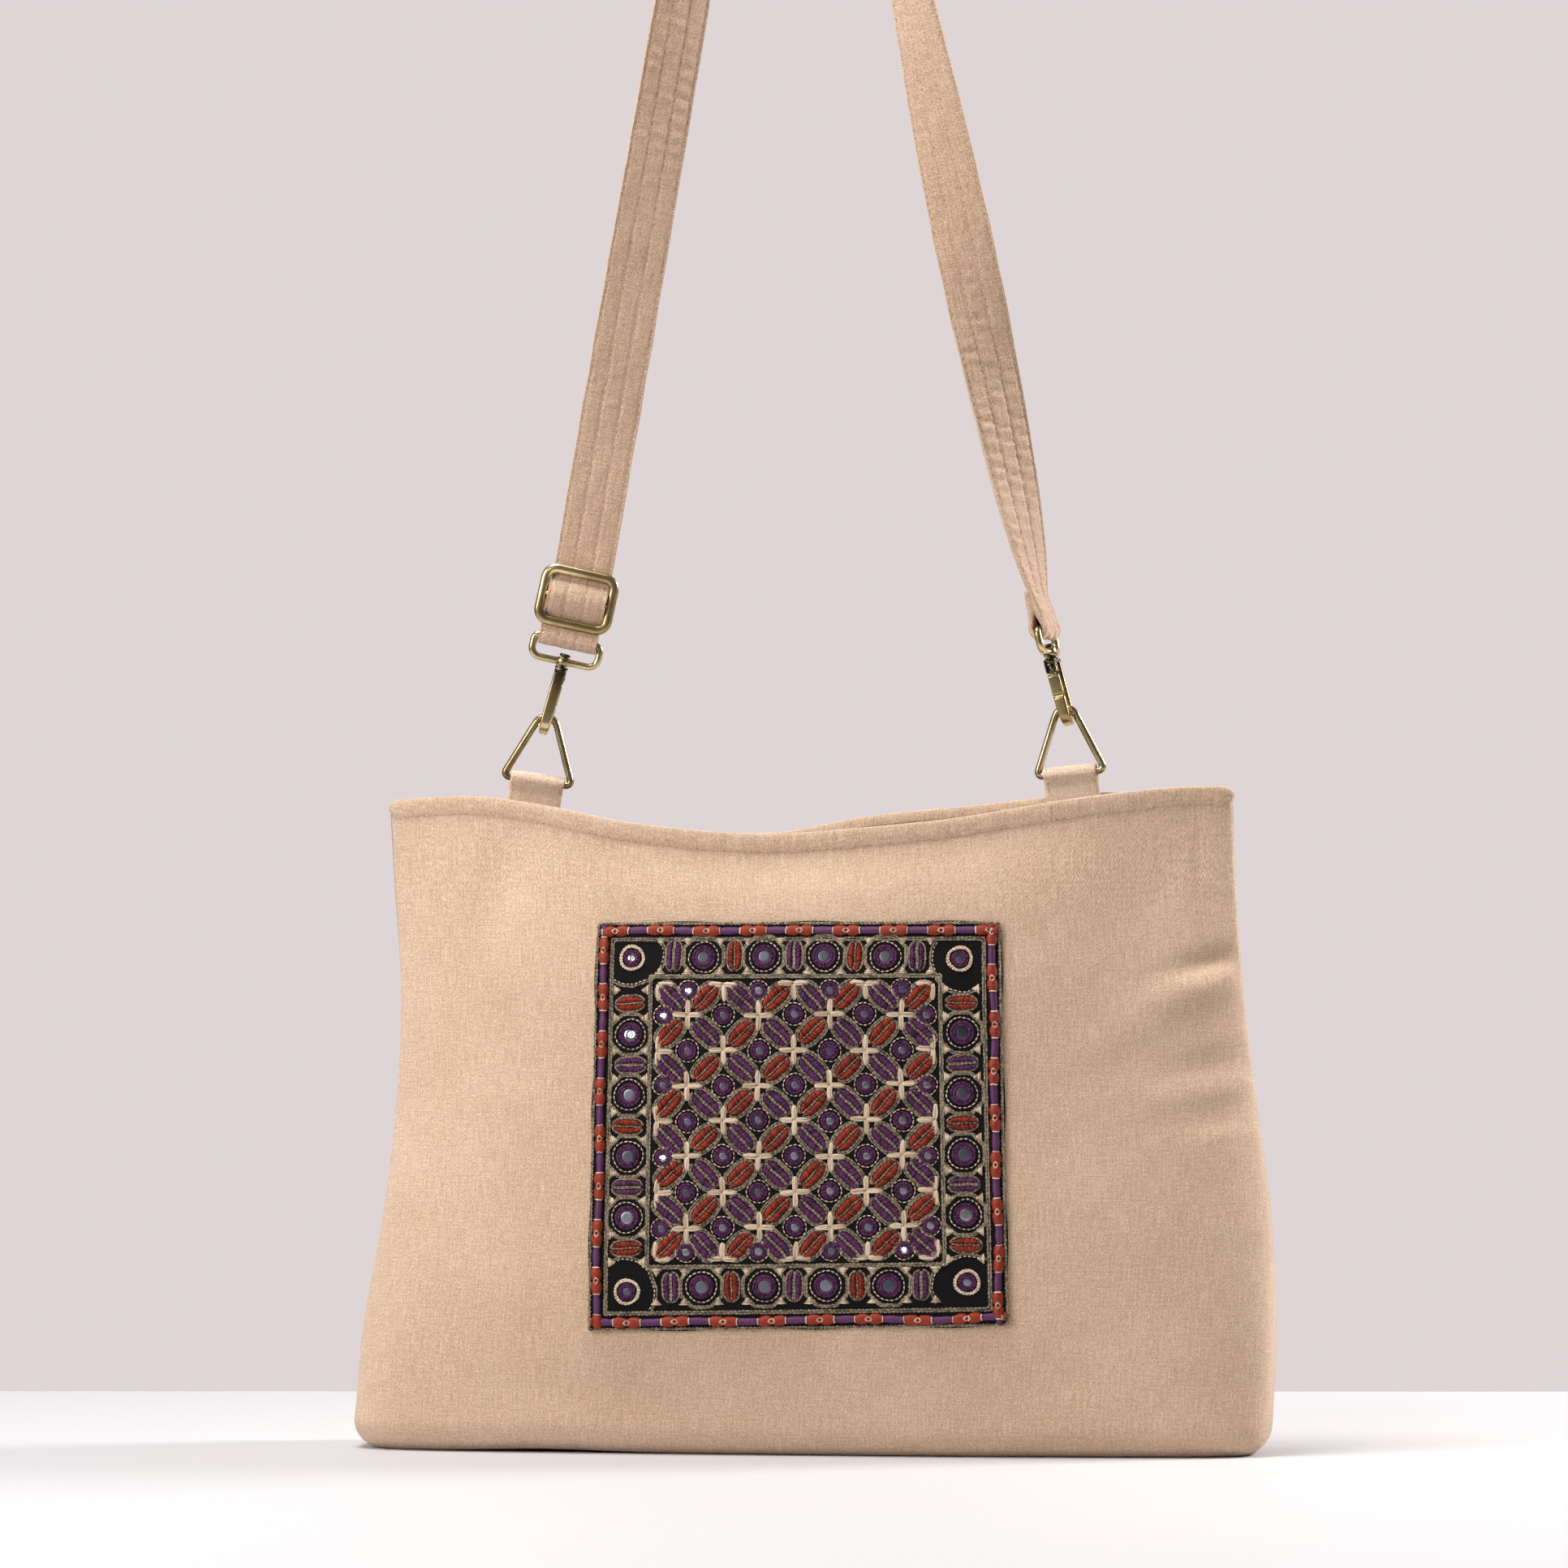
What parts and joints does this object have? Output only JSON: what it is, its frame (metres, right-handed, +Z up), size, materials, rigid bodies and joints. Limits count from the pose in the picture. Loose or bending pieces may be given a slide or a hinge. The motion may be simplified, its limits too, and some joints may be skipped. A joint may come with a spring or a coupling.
{
  "type": "embroidered sling bag",
  "caption": "Cloth sling bag with boxed bottom, open stitched mouth and square mirror-work patch, on a quilted strap with slider and swivel snap hooks.",
  "frame": {"origin": "underside of the strap at the top of its loop, where the bag hangs", "axes": "+Z up along the strap, the embroidered front faces -Y, +X to the right seen from the front"},
  "size_m": [0.3988, 0.0955, 0.8238],
  "materials": {
    "cloth": "woven",
    "strap_cloth": "quilted weave",
    "patch_cloth": "plain weave",
    "patch_cord": "wrapped cord",
    "antique_brass": "antique",
    "embroidery_thread": "satin stitch",
    "mirror": "aged mirror glass"
  },
  "bodies": {
    "bag": {"front_panel": "cloth", "back_panel": "cloth", "rim_front": "cloth", "rim_back": "cloth", "tab_left": "cloth", "tab_right": "cloth", "patch_cloth": "patch_cloth", "patch_cord": "patch_cord", "strap": "strap_cloth", "ring_left": "antique_brass", "ring_right": "antique_brass", "loop_left": "antique_brass", "loop_right": "antique_brass", "slider": "antique_brass"},
    "left_hook": {"hook_left": "antique_brass"},
    "left_gate": {"gate_left": "antique_brass"},
    "right_hook": {"hook_right": "antique_brass"},
    "right_gate": {"gate_right": "antique_brass"}
  },
  "joints": [
    {"name": "left_swivel", "type": "hinge", "parent": "bag", "child": "left_hook", "pos_m": [-0.10137, 0.00928, -0.48075], "axis": [0.2756, 0, 0.9613], "range_deg": [-12, 12]},
    {"name": "left_gate_hinge", "type": "hinge", "parent": "left_hook", "child": "left_gate", "pos_m": [-0.104, 0.01353, -0.48749], "axis": [-0.9495, -0.1559, 0.2723], "range_deg": [0, 22], "stiffness_Nm_per_rad": 0.02},
    {"name": "right_swivel", "type": "hinge", "parent": "bag", "child": "right_hook", "pos_m": [0.11203, 0.01043, -0.47825], "axis": [-0.2588, 0, 0.9659], "range_deg": [-12, 12]},
    {"name": "right_gate_hinge", "type": "hinge", "parent": "right_hook", "child": "right_gate", "pos_m": [0.11329, 0.00617, -0.48537], "axis": [0.9559, -0.144, 0.2561], "range_deg": [0, 22], "stiffness_Nm_per_rad": 0.02}
  ]
}
